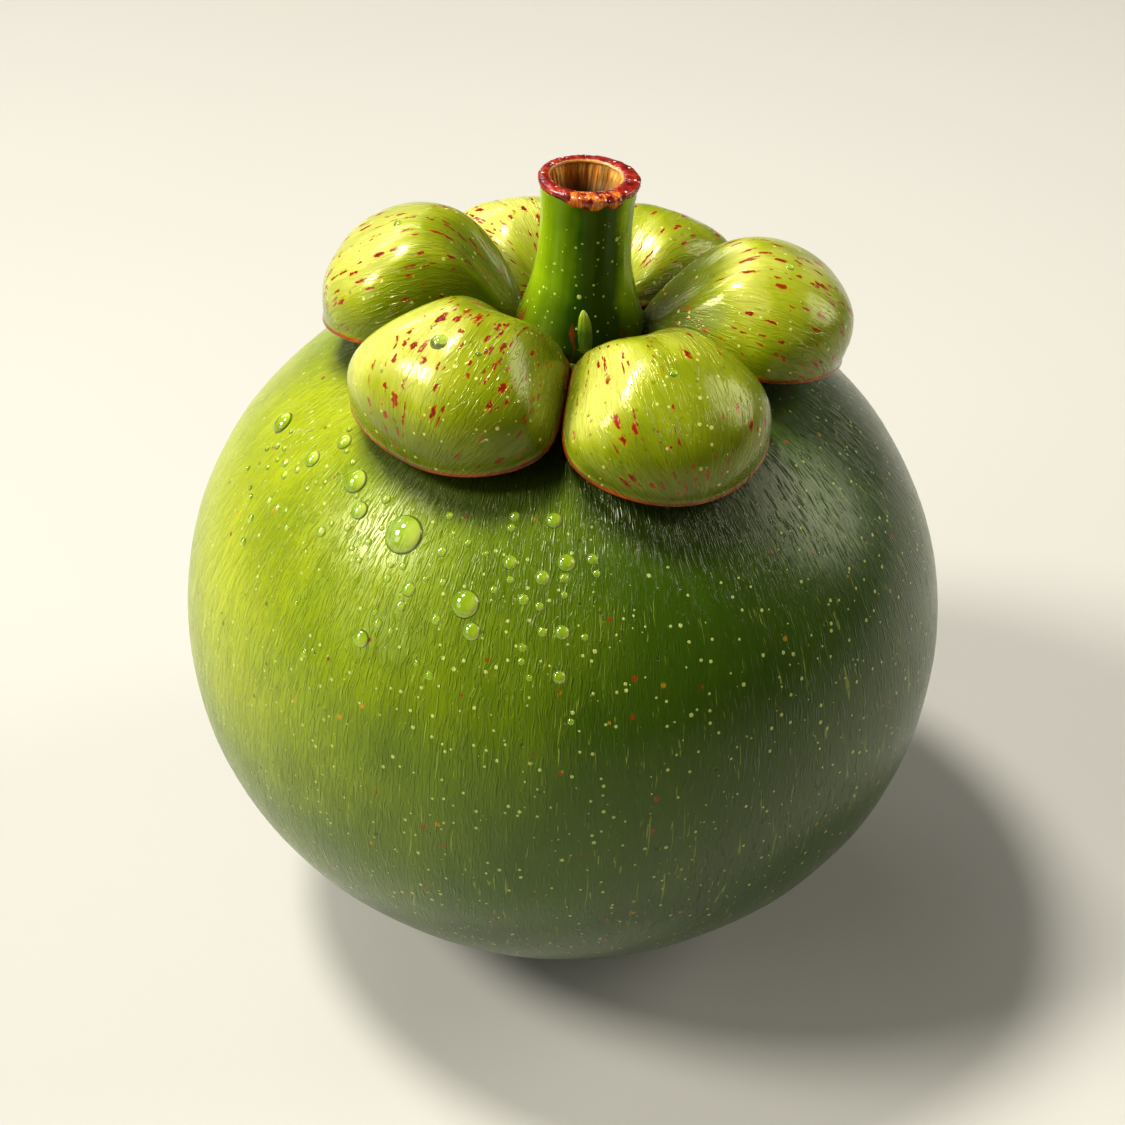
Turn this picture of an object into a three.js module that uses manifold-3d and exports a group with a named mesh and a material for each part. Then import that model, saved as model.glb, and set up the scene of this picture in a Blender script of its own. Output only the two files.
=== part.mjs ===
// A whole green mangosteen as picked: a slightly flattened round fruit that stands on its
// blossom end, six swollen calyx lobes packed round the stalk, and a short thick stalk with a
// hollowed, torn cut end. Millimetres, +Z up. The origin is the middle of the flat spot that it
// rests on. The crown leans a little towards +X, as on a fruit that hung from a twig.
import * as THREE from "three";
import { mergeVertices } from "three/addons/utils/BufferGeometryUtils.js";
import Module from "manifold-3d";

// Driving dimensions
const RIND_RADIUS = 30; // half the fruit's width
const RIND_RISE = 26.3; // from the fruit's centre to the crown, before the dimple
const RIND_FULLNESS = 2.15; // 2 is an ellipsoid, and more is fuller at the shoulders
const ROUNDNESS_WAVE = 0.006; // how far the outline strays from a circle, as a share
const REST_HEIGHT = 25.5; // from the flat under the rind up to the fruit's centre
const CROWN_LEAN = 2.9; // degrees, towards +X
const DIMPLE_DEPTH = 1.4; // round the stalk
const DIMPLE_RADIUS = 7;
const SCAR_THICKNESS = 0.6; // the woody stigma scar under the fruit
const SCAR_RADIUS = 6.6;
const SCAR_LOBES = 7;
const SCAR_NOTCH = 0.28; // how deep the notches between them go, as a share of the radius
const STALK_TOP = 37.5; // above the fruit's centre
const STALK_FOOT = 25.45; // where the stalk's foot ends, above the fruit's centre
const STALK_RADIUS = 3.3; // at its neck
const FLARE_RADIUS = 4.9; // at its foot
const LIP_RADIUS = 3.6; // round the cut end
const HOLLOW_RADIUS = 2.7; // of the cut end's mouth
const HOLLOW_DEPTH = 3.4;
const LIP_DEPTH = 1.1; // from the rim of the cut end to where the lip starts
const LIP_DROOP = 0.9; // how far the torn lip hangs at the front
const TEAR_AZIMUTH = 7; // degrees from -Y towards +X: the middle of the torn stretch
const TEAR_SPREAD = 32; // degrees to each side
const TEAR_TEETH = 12; // that would go round the whole rim
const BRACT_TOP = 28.9; // the little pointed scale at the stalk's foot, over the fruit's centre
const BRACT_RADIUS = 0.85;
const BRACT_AZIMUTH = 4; // degrees from -Y towards +X
const BRACT_SINK = 0.55; // of its axis under the stalk's skin at the foot
const BRACT_CURL = 0.25; // how far its tip bends aside
const LOBE_START = 4.3; // the lobes' inner end, from the crown's axis
const LOBE_PACKING = 4; // how sharply a lobe is flattened where it meets its neighbours
const LOBE_HEART = 1; // how far out from its middle a lobe's mesh is centred
const CREASE_DEPTH = 0.6; // of the dip where a lobe joins the stalk, as a share of its height
const CREASE_LENGTH = 3.4;
const CREASE_HALF_WIDTH = 3;
const CLEARANCE = 0.35; // between pieces that touch

// Each lobe's direction in degrees from -Y towards +X, how far from the crown's axis it ends, its
// half widths towards the lobe before it and the one after it, the height of its swollen top over
// its rim, how far its outer rim stands off the rind, and how many degrees the top leans out.
// They go round in order.
const LOBES = [
  { name: "front_right", azimuth: 24.5, end: 19.7, half: [8.2, 8.3], height: 6.4, lift: 1.6, tilt: 20 },
  { name: "right", azimuth: 90, end: 19.4, half: [7.5, 7.5], height: 7.6, lift: 3, tilt: 20 },
  { name: "back_right", azimuth: 152, end: 17.6, half: [7.6, 7.6], height: 5, lift: 1.6, tilt: 15 },
  { name: "back_left", azimuth: 200, end: 17.6, half: [7.6, 7.6], height: 5, lift: 1.6, tilt: 15 },
  { name: "left", azimuth: 261, end: 19.1, half: [7.8, 7.2], height: 7.8, lift: 3, tilt: 8 },
  { name: "front_left", azimuth: 323.5, end: 19.1, half: [10.4, 8.2], height: 7.6, lift: 1.6, tilt: 20 },
];

const UP = new THREE.Vector3(0, 0, 1);
const { degToRad, smoothstep } = THREE.MathUtils;
const wasm = await Module();
wasm.setup();

// ---- helpers ----

// Moves every vertex of a geometry to where fn puts it.
function mould(geometry, fn) {
  const position = geometry.getAttribute("position");
  const point = new THREE.Vector3();
  for (let i = 0; i < position.count; i++) {
    fn(point.fromBufferAttribute(position, i));
    position.setXYZ(i, point.x, point.y, point.z);
  }
  return geometry;
}

// A unit sphere with its poles on Z.
function ball(around, down) {
  return new THREE.SphereGeometry(1, around, down).rotateX(Math.PI / 2);
}

function solidOf(geometry) {
  const bare = geometry.clone();
  bare.deleteAttribute("normal");
  bare.deleteAttribute("uv");
  const merged = mergeVertices(bare, 1e-4);
  return new wasm.Manifold(
    new wasm.Mesh({
      numProp: 3,
      vertProperties: merged.attributes.position.array,
      triVerts: new Uint32Array(merged.index.array),
    }),
  );
}

// A cut can leave scraps: this is the body that matters.
function largest(solid) {
  return solid.decompose().reduce((a, b) => (a.volume() > b.volume() ? a : b));
}

function geometryOf(solid) {
  const mesh = solid.getMesh();
  return new THREE.BufferGeometry()
    .setAttribute("position", new THREE.BufferAttribute(mesh.vertProperties, 3))
    .setIndex(new THREE.BufferAttribute(mesh.triVerts, 1));
}

function piece(name, geometry, color, roughness) {
  const material = new THREE.MeshStandardMaterial({ color, roughness, metalness: 0 });
  const mesh = new THREE.Mesh(geometry, material);
  mesh.name = name;
  return mesh;
}

// ---- the rind ----

// The fruit isn't quite round: its radius at this angle, as a share of the usual one.
function roundness(angle) {
  return 1 + ROUNDNESS_WAVE * (Math.cos(2 * angle + 0.7) + 0.6 * Math.cos(5 * angle + 2));
}

// The height of one undented half of the rind over the fruit's centre.
function domeHeight(x, y) {
  const share = Math.hypot(x, y) / (RIND_RADIUS * roundness(Math.atan2(y, x)));
  return RIND_RISE * Math.max(1 - share ** RIND_FULLNESS, 0) ** (1 / RIND_FULLNESS);
}

// The height of the crown side, which is sunk round the stalk, in the crown's own frame.
function crownHeight(x, y) {
  return domeHeight(x, y) - DIMPLE_DEPTH * Math.exp(-((Math.hypot(x, y) / DIMPLE_RADIUS) ** 2));
}

function rind() {
  const lean = new THREE.Matrix4().makeRotationY(degToRad(CROWN_LEAN));
  return mould(ball(56, 30), (p) => {
    const wide = RIND_RADIUS * roundness(Math.atan2(p.y, p.x));
    const x = p.x * wide;
    const y = p.y * wide;
    p.set(x, y, p.z > 0 ? crownHeight(x, y) : -domeHeight(x, y)).applyMatrix4(lean);
    p.z = Math.max(p.z, -REST_HEIGHT);
  });
}

// ---- the calyx ----

// Half of the angle between a lobe and the next one, going round by step, in radians.
function halfSector(index, step) {
  const next = LOBES[(index + step + LOBES.length) % LOBES.length];
  const turn = (next.azimuth - LOBES[index].azimuth) * step;
  return degToRad(((turn + 360) % 360) / 2);
}

// Where a point of the plan is in a lobe: 0 at its middle, 1 on its rim. x runs out along the
// lobe and y across it.
function lobeShare(x, y, index) {
  const { end, half } = LOBES[index];
  const along = (2 * (x - LOBE_START)) / (end - LOBE_START) - 1;
  const across = y / half[y > 0 ? 1 : 0];
  const room = x * Math.tan(halfSector(index, y > 0 ? 1 : -1)) - CLEARANCE / 2;
  const pressed = (y / Math.max(room, 0.01)) ** 2;
  const free = along ** 2 + across ** 2;
  return (free ** LOBE_PACKING + pressed ** LOBE_PACKING) ** (1 / LOBE_PACKING);
}

// The distance from a lobe's heart to its rim in one direction of the plan.
function lobeReach(heart, angle, index) {
  let inside = 0;
  let outside = LOBES[index].end;
  for (let i = 0; i < 40; i++) {
    const middle = (inside + outside) / 2;
    const x = heart + middle * Math.cos(angle);
    if (lobeShare(x, middle * Math.sin(angle), index) < 1) inside = middle;
    else outside = middle;
  }
  return inside;
}

// A swollen lobe, round on top and hugging the rind below, whose rim stands off the rind.
function lobe(index) {
  const { azimuth, end, height, lift, tilt } = LOBES[index];
  const heart = (LOBE_START + end) / 2 + LOBE_HEART;
  const lean = degToRad(tilt);
  return mould(ball(28, 16), (p) => {
    const share = Math.min(Math.hypot(p.x, p.y), 1);
    const angle = Math.atan2(p.y, p.x);
    const reach = share * lobeReach(heart, angle, index);
    const x = heart + reach * Math.cos(angle);
    const y = reach * Math.sin(angle);
    const under = CLEARANCE + lift * smoothstep(x, LOBE_START, end) * share ** 2;
    const crease = ((x - LOBE_START) / CREASE_LENGTH) ** 2 + (y / CREASE_HALF_WIDTH) ** 2;
    const swell = height * (1 - CREASE_DEPTH * Math.exp(-crease));
    const top = p.z > 0 ? swell * Math.sqrt(Math.max(1 - lobeShare(x, y, index), 0)) : 0;
    p.set(x + top * Math.sin(lean), y, 0).applyAxisAngle(UP, degToRad(azimuth - 90));
    p.z = crownHeight(x, y) + under + top * Math.cos(lean);
  });
}

// ---- the stalk ----

// The stalk's side as radius and height over the fruit's centre, from its foot to its neck.
function stalkSide() {
  return new THREE.SplineCurve([
    new THREE.Vector2(FLARE_RADIUS, STALK_FOOT),
    new THREE.Vector2(FLARE_RADIUS - 0.15, STALK_FOOT + 0.75),
    new THREE.Vector2(STALK_RADIUS + 0.7, STALK_FOOT + 2.85),
    new THREE.Vector2(STALK_RADIUS + 0.15, STALK_FOOT + 5.35),
    new THREE.Vector2(STALK_RADIUS, STALK_TOP - 3.7),
    new THREE.Vector2(STALK_RADIUS + 0.05, STALK_TOP - 2),
  ]).getPoints(11);
}

// The rest of the outline, round the lip and down into the hollow.
function stalkMouth() {
  return [
    [LIP_RADIUS - 0.12, STALK_TOP - LIP_DEPTH],
    [LIP_RADIUS + 0.05, STALK_TOP - 0.7],
    [LIP_RADIUS, STALK_TOP - 0.2],
    [LIP_RADIUS - 0.35, STALK_TOP],
    [HOLLOW_RADIUS + 0.1, STALK_TOP - 0.2],
    [HOLLOW_RADIUS - 0.3, STALK_TOP - 0.9],
    [HOLLOW_RADIUS * 0.65, STALK_TOP - HOLLOW_DEPTH * 0.65],
    [HOLLOW_RADIUS * 0.35, STALK_TOP - HOLLOW_DEPTH * 0.94],
    [0, STALK_TOP - HOLLOW_DEPTH],
  ].map(([radius, height]) => new THREE.Vector2(radius, height));
}

// How far the lip hangs at this angle, as a share: torn at the front and slightly wavy elsewhere.
function tear(angle) {
  const azimuth = angle + Math.PI / 2;
  const torn = Math.exp(-(((azimuth - degToRad(TEAR_AZIMUTH)) / degToRad(TEAR_SPREAD)) ** 2));
  return torn * (0.75 + 0.25 * Math.cos(TEAR_TEETH * azimuth)) + 0.08 * Math.cos(5 * azimuth);
}

// A little pointed scale that hugs the stalk's foot at the front.
function bract(grow) {
  const height = BRACT_TOP - STALK_FOOT;
  const leaf = new THREE.ConeGeometry(BRACT_RADIUS + grow, height, 10, 4).rotateX(Math.PI / 2);
  return mould(leaf, (p) => {
    const rise = p.z / height + 0.5;
    p.x -= BRACT_CURL * rise ** 2;
    p.y -= FLARE_RADIUS - BRACT_SINK - 0.55 * Math.sin((rise * Math.PI) / 2);
    p.z = STALK_FOOT + rise * height;
    p.applyAxisAngle(UP, degToRad(BRACT_AZIMUTH));
  });
}

// The stalk with its bract. A grown one makes the room that the lobes leave for it.
function stalk(grow) {
  const foot = [new THREE.Vector2(0, STALK_FOOT), new THREE.Vector2(3, STALK_FOOT)];
  const outline = [...foot, ...stalkSide(), ...stalkMouth()];
  for (const point of outline) if (point.x > 0) point.x += grow;
  const lathe = new THREE.LatheGeometry(outline, 36).rotateX(Math.PI / 2);
  const torn = mould(lathe, (p) => {
    const below = STALK_TOP - p.z;
    const inLip = Math.hypot(p.x, p.y) > HOLLOW_RADIUS + 0.5 + grow && below < LIP_DEPTH + 0.1;
    if (inLip) p.z -= LIP_DROOP * smoothstep(below, 0.1, 0.7) * tear(Math.atan2(p.y, p.x));
  });
  return solidOf(torn).add(solidOf(bract(grow)));
}

// ---- the scar under the fruit ----

function scar() {
  const outline = new THREE.Shape();
  const steps = SCAR_LOBES * 8;
  for (let i = 0; i < steps; i++) {
    const angle = (2 * Math.PI * i) / steps;
    const swell = Math.abs(Math.cos((SCAR_LOBES * angle) / 2)) ** 0.5;
    const radius = SCAR_RADIUS * (1 - SCAR_NOTCH * (1 - swell));
    outline[i ? "lineTo" : "moveTo"](radius * Math.cos(angle), radius * Math.sin(angle));
  }
  return new THREE.ExtrudeGeometry(outline, { depth: SCAR_THICKNESS, bevelEnabled: false });
}

// ---- the whole fruit ----

const centre = SCAR_THICKNESS + CLEARANCE + REST_HEIGHT;
const mangosteen = new THREE.Group();
mangosteen.add(piece("stigma_scar", scar(), "#6b4a2b", 0.8));
const body = piece("rind", rind(), "#7ea31f", 0.4);
body.position.z = centre;
mangosteen.add(body);

const crown = new THREE.Group();
crown.position.z = centre;
crown.rotation.y = degToRad(CROWN_LEAN);
mangosteen.add(crown);
const stalkRoom = stalk(CLEARANCE);
LOBES.forEach(({ name }, index) => {
  const solid = largest(solidOf(lobe(index)).subtract(stalkRoom));
  crown.add(piece("calyx_lobe_" + name, geometryOf(solid), "#a9bf2d", 0.35));
});
crown.add(piece("stalk", geometryOf(stalk(0)), "#3f6d14", 0.4));

export default mangosteen;
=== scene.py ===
"""A whole green mangosteen, wet from rinsing, on a pale floor under studio light."""

import math
import random

import bmesh
import bpy
from mathutils import Matrix, Vector, noise
from mathutils.bvhtree import BVHTree


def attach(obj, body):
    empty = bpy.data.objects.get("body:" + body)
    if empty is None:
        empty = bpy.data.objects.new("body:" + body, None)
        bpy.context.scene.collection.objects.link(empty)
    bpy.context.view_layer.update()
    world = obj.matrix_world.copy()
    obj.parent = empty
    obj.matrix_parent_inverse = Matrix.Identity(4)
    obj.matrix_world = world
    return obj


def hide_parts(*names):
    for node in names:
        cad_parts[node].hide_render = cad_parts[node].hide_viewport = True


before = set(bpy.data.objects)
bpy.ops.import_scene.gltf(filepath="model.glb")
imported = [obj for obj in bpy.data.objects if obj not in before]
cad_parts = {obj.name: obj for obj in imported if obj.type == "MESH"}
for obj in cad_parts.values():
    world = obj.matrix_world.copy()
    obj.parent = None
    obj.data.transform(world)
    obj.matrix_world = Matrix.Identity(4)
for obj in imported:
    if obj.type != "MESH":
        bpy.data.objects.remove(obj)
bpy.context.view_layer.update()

# ---- driving dimensions, in millimetres and degrees, the same as the solids' ----

MM = 0.001
RIND_RADIUS = 30  # half the width of the fruit
RIND_RISE = 26.3  # from the fruit's centre to the crown, before the dimple
RIND_FULLNESS = 2.15  # 2 is an ellipsoid, and more is fuller at the shoulders
ROUNDNESS_WAVE = 0.006  # how far the outline strays from a circle, as a share
REST_HEIGHT = 25.5  # from the flat under the rind up to the fruit's centre
CROWN_LEAN = 2.9  # degrees, towards +X
DIMPLE_DEPTH = 1.4  # round the stalk
DIMPLE_RADIUS = 7
SCAR_THICKNESS = 0.6  # the woody stigma scar under the fruit
SCAR_RADIUS = 6.6
SCAR_LOBES = 7
SCAR_NOTCH = 0.28  # how deep the notches between its lobes go, as a share of the radius
STALK_TOP = 37.5  # above the fruit's centre
STALK_FOOT = 25.45  # where the stalk's foot ends, above the fruit's centre
STALK_RADIUS = 3.3  # at its neck
FLARE_RADIUS = 4.9  # at its foot
LIP_RADIUS = 3.6  # round the cut end
HOLLOW_RADIUS = 2.7  # of the cut end's mouth
HOLLOW_DEPTH = 3.4
BRACT_TOP = 28.9  # the little pointed scale at the stalk's foot, above the fruit's centre
BRACT_RADIUS = 0.85
BRACT_AZIMUTH = 4  # degrees from -Y towards +X
BRACT_SINK = 0.55  # of its axis under the stalk's skin at the foot
BRACT_CURL = 0.25  # how far its tip bends aside
LOBE_START = 4.3  # the lobes' inner end, from the crown's axis
LOBE_PACKING = 4  # how sharply a lobe is flattened where it meets its neighbours
LOBE_HEART = 1  # how far out from its middle a lobe's mesh is centred
CREASE_DEPTH = 0.6  # of the dip where a lobe joins the stalk, as a share of its height
CREASE_LENGTH = 3.4
CREASE_HALF_WIDTH = 3
CLEARANCE = 0.35  # between pieces that touch

# Direction in degrees from -Y towards +X, outer end from the crown's axis, half widths towards
# the lobe before and the one after, height of the swollen top, lift of the rim, and tilt.
LOBES = {
    "front_right": (24.5, 19.7, (8.2, 8.3), 6.4, 1.6, 20),
    "right": (90, 19.4, (7.5, 7.5), 7.6, 3, 20),
    "back_right": (152, 17.6, (7.6, 7.6), 5, 1.6, 15),
    "back_left": (200, 17.6, (7.6, 7.6), 5, 1.6, 15),
    "left": (261, 19.1, (7.8, 7.2), 7.8, 3, 8),
    "front_left": (323.5, 19.1, (10.4, 8.2), 7.6, 1.6, 20),
}

# How much fuller the halves of some lobes are, towards the lobe before and the one after.
FULLER = {"front_left": (0.06, 0), "right": (0, 0.1), "left": (0.13, 0)}
# How much slimmer they are at their inner corners, again towards the lobes before and after.
SLIMMER = {"front_left": (0, 0.12), "front_right": (0.34, 0)}
# How much lighter some lobes are painted, as painted light on them, and how much painted shade
# darkens an inner end where the stalk shades it.
LOBES_PAINTED_LIGHTER = {"right": 0.16, "back_left": 0.3, "back_right": 0.06}
STALK_SHADE_PAINTED = {"right": 0.9}

# ---- what only the visible meshes have, in millimetres ----

SKIN_RELIEF = 0.08  # half of the rind's unevenness
LOBE_SWELL = 0.43  # how steeply a lobe's top rises from its rim: less is fuller
LOBE_GAP = 0.1  # from a lobe to the middle of the crease beside it
RIM_BEAD, RIM_WIDTH = 0.16, 0.26  # the dry thickened edge of a lobe
VEIN_TURN, VEIN_RUN = 6, 7.6  # grain for a radian across a lobe, and along it
STALK_GRAIN = 3.4  # the radius at which the stalk's grain is laid out
TEAR_START, TEAR_END, TEAR_TEETH = -30, 44, 12  # degrees from -Y, and teeth in a full turn
DROP_SPREAD, DROP_HEIGHT, DROP_ROOT = 1.16, 0.95, 0.48  # as shares of a drop's radius
DROPLET_TRIES, DROPS_AT_MOST, DROPLET_GAP = 900, 84, 0.25

CENTRE = Vector((0, 0, SCAR_THICKNESS + CLEARANCE + REST_HEIGHT))
LEAN = Matrix.Rotation(math.radians(CROWN_LEAN), 3, "Y")


def smoothstep(value, low, high):
    t = min(max((value - low) / (high - low), 0), 1)
    return t * t * (3 - 2 * t)


def from_crown(point):
    """A point of the crown's own frame, over the fruit's centre, as a place in the model."""
    return (CENTRE + LEAN @ point) * MM


def direction(azimuth):
    """The level direction at this many degrees from -Y towards +X."""
    turn = math.radians(azimuth - 90)
    return Vector((math.cos(turn), math.sin(turn), 0))


def round_axis(point):
    """The turn of a point round the upright axis, how far it is from it, and the way there."""
    angle = math.atan2(point.y, point.x)
    way = Vector((math.cos(angle), math.sin(angle), 0))
    return angle, math.hypot(point.x, point.y), way


# ---- nodes and patterns ----


def linear(code, alpha=1.0):
    """An sRGB hex colour as the linear one that a shader takes."""
    parts = [int(code[i : i + 2], 16) / 255 for i in (1, 3, 5)]
    return [p / 12.92 if p <= 0.04045 else ((p + 0.055) / 1.055) ** 2.4 for p in parts] + [alpha]


def add(tree, kind, inputs=None, **settings):
    """A new node with its settings, and with its inputs set to values or linked to sockets."""
    made = tree.nodes.new("ShaderNode" + kind)
    for name, value in settings.items():
        setattr(made, name, value)
    for name, value in (inputs or {}).items():
        if isinstance(value, bpy.types.NodeSocket):
            tree.links.new(value, made.inputs[name])
        else:
            made.inputs[name].default_value = value
    return made


def start_material(name, **finish):
    """An empty principled material: its tree and its shader, with the finish set on it."""
    material = bpy.data.materials.new(name)
    material.use_nodes = True
    tree = material.node_tree
    shader = tree.nodes["Principled BSDF"]
    for socket, value in finish.items():
        shader.inputs[socket.replace("_", " ")].default_value = value
    return material, tree, shader


def maths(tree, operation, *values):
    return add(tree, "Math", dict(enumerate(values)), operation=operation).outputs[0]


def remap(tree, value, low, high, new_low=0, new_high=1):
    """The value with the range from low to high made the new one, and kept inside that."""
    ends = {0: value, 1: low, 2: high, 3: new_low, 4: new_high}
    return add(tree, "MapRange", ends).outputs[0]


def ramp(tree, value, *stops):
    """A colour for the value, between stops that are pairs of a place and the colour there."""
    made = add(tree, "ValToRGB", {0: value})
    elements = made.color_ramp.elements
    for count, (place, code) in enumerate(stops):
        stop = elements[count] if count < 2 else elements.new(place)
        stop.position, stop.color = place, linear(code)
    return made.outputs[0]


def scaled(tree, vector, factor):
    inputs = {0: vector, "Scale": factor}
    return add(tree, "VectorMath", inputs, operation="SCALE").outputs[0]


def grain_and_mm(tree):
    """The place in the model in millimetres, and the lie of the grain, also in millimetres."""
    place = add(tree, "TexCoord").outputs["Object"]
    in_mm = add(tree, "Mapping", {"Vector": place, "Scale": (1000, 1000, 1000)}).outputs[0]
    return in_mm, add(tree, "Attribute", attribute_name="grain").outputs["Vector"]


def clouds(tree, place, size, detail):
    """A node with soft patches of about this size in millimetres."""
    return add(tree, "TexNoise", {"Vector": place, "Scale": 1 / size, "Detail": detail})


def marks(tree, place, spacing, radius, share, soft=0.25, where=None, flat=False):
    """Round marks of up to this radius in millimetres, in this share of the cells. A flat
    pattern has all its marks whole; the others are cut by the surface, and so vary more."""
    cells = add(
        tree,
        "TexVoronoi",
        {"Vector": place, "Scale": 1 / spacing},
        voronoi_dimensions="2D" if flat else "3D",
    )
    chance = add(tree, "SeparateColor", {0: cells.outputs["Color"]}).outputs[0]
    top = radius / spacing
    size = remap(tree, chance, 1 - share, 1, 0.3 * top, top)
    there = maths(tree, "GREATER_THAN", chance, 1 - share)
    inner = maths(tree, "MULTIPLY", size, 1 - soft)
    mark = remap(tree, cells.outputs["Distance"], size, inner, 0, there)
    return mark if where is None else maths(tree, "MULTIPLY", mark, where)


def streaks(tree, grain, width, length, lie=(0, 0, 1), bend=0.3):
    """Uneven strokes of this width and length in millimetres that lie along the grain."""
    scale = [1 / length if part else 1 / width for part in lie]
    stretched = add(tree, "Mapping", {"Vector": grain, "Scale": scale}).outputs[0]
    return add(
        tree, "TexNoise", {"Vector": stretched, "Scale": 1.0, "Detail": 2.0, "Distortion": bend}
    ).outputs[0]


def lay_over(tree, colour, *layers):
    """Each layer's colour over what lies below it: its mask, how strong it is, and its tint."""
    for mask, strength, tint in layers:
        thick = maths(tree, "MULTIPLY", mask, strength)
        tint = linear(tint) if isinstance(tint, str) else tint
        colour = add(tree, "Mix", {0: thick, 6: colour, 7: tint}, data_type="RGBA").outputs[2]
    return colour


def emboss(tree, shader, depth, *heights):
    """Relief of this depth in millimetres, the sum of heights that each have a weight."""
    total = 0.0
    for height, weight in heights:
        total = maths(tree, "MULTIPLY_ADD", height, weight, total)
    bump = add(tree, "Bump", {"Height": total, "Distance": depth * MM}).outputs[0]
    tree.links.new(bump, shader.inputs["Normal"])
    tree.links.new(bump, shader.inputs["Coat Normal"])


# ---- camera, floor and light ----


def aim(thing, at):
    thing.rotation_euler = (at - thing.location).to_track_quat("-Z", "Y").to_euler()


def make_camera():
    """Looks down on the fruit from the front, close enough to foreshorten the underside."""
    elevation = math.radians(38)
    distance = 150
    lift = math.radians(1.1)  # the middle of the fruit and its stalk is over the rind's centre
    back = Vector((0, -math.cos(elevation), math.sin(elevation)))
    up = Vector((0, math.sin(elevation), math.cos(elevation)))
    camera = bpy.data.objects.new("camera", bpy.data.cameras.new("camera"))
    camera.data.lens = 58.5
    camera.data.clip_start = 0.01
    camera.location = (CENTRE + back * distance) * MM
    aim(camera, (CENTRE + up * distance * math.tan(lift)) * MM)
    bpy.context.scene.collection.objects.link(camera)
    bpy.context.scene.camera = camera


def make_light(name, azimuth, elevation, size, power, colour=(1, 1, 1)):
    """A soft box with a honeycomb grid, a metre from the fruit. Azimuth 0 is the front. Its size
    and power are those that it would have at half the distance."""
    level = math.radians(elevation)
    light = bpy.data.lights.new(name, "AREA")
    light.shape = "ELLIPSE"
    light.size, light.size_y = 2 * size[0], 2 * size[1]
    light.energy = 4 * power
    light.color = colour
    light.spread = math.radians(80)
    lamp = bpy.data.objects.new(name, light)
    away = direction(azimuth) * math.cos(level) + Vector((0, 0, math.sin(level)))
    lamp.location = CENTRE * MM + away
    aim(lamp, CENTRE * MM)
    bpy.context.scene.collection.objects.link(lamp)


# What is seen past the floor, and how bright it looks.
BACKDROP = ("#f2f0ea", 0.8)


def matt_paper():
    """Matt background paper: no shine, and a faint unevenness of tone. Far from the fruit, past
    where the lights reach, it looks like the backdrop."""
    material, tree, shader = start_material("matt_background_paper", Roughness=0.9, IOR=1.5)
    place = add(tree, "TexCoord").outputs["Object"]
    cloud = add(tree, "TexNoise", {"Vector": place, "Scale": 6.0, "Detail": 2.0})
    tones = {0: cloud.outputs[0], 6: linear("#b9b6ac"), 7: linear("#c1beb4")}
    tone = add(tree, "Mix", tones, data_type="RGBA")
    tree.links.new(tone.outputs[2], shader.inputs["Base Color"])
    away = add(tree, "VectorMath", {0: place}, operation="LENGTH").outputs["Value"]
    seen = add(tree, "LightPath").outputs["Is Camera Ray"]
    fading = maths(tree, "MULTIPLY", remap(tree, away, 0.26, 0.6), seen)
    glow = add(tree, "Emission", {"Color": linear(BACKDROP[0]), "Strength": BACKDROP[1]})
    blend = add(tree, "MixShader", {0: fading, 1: shader.outputs[0], 2: glow.outputs[0]})
    tree.links.new(blend.outputs[0], tree.nodes["Material Output"].inputs["Surface"])
    return material


def make_floor():
    bm = bmesh.new()
    bmesh.ops.create_grid(bm, x_segments=1, y_segments=1, size=0.9)
    mesh = bpy.data.meshes.new("floor")
    bm.to_mesh(mesh)
    bm.free()
    floor = bpy.data.objects.new("floor", mesh)
    bpy.context.scene.collection.objects.link(floor)
    floor.data.materials.append(matt_paper())


def make_world():
    """A dim studio that lights the fruit a little, and looks pale behind the floor."""
    world = bpy.context.scene.world or bpy.data.worlds.new("world")
    bpy.context.scene.world = world
    world.use_nodes = True
    tree = world.node_tree
    seen = add(tree, "LightPath").outputs["Is Camera Ray"]
    strength = remap(tree, seen, 0, 1, 0.055, BACKDROP[1])
    tree.nodes["Background"].inputs["Color"].default_value = linear(BACKDROP[0])
    tree.links.new(strength, tree.nodes["Background"].inputs["Strength"])


# ---- the finishes of the fruit ----


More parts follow.
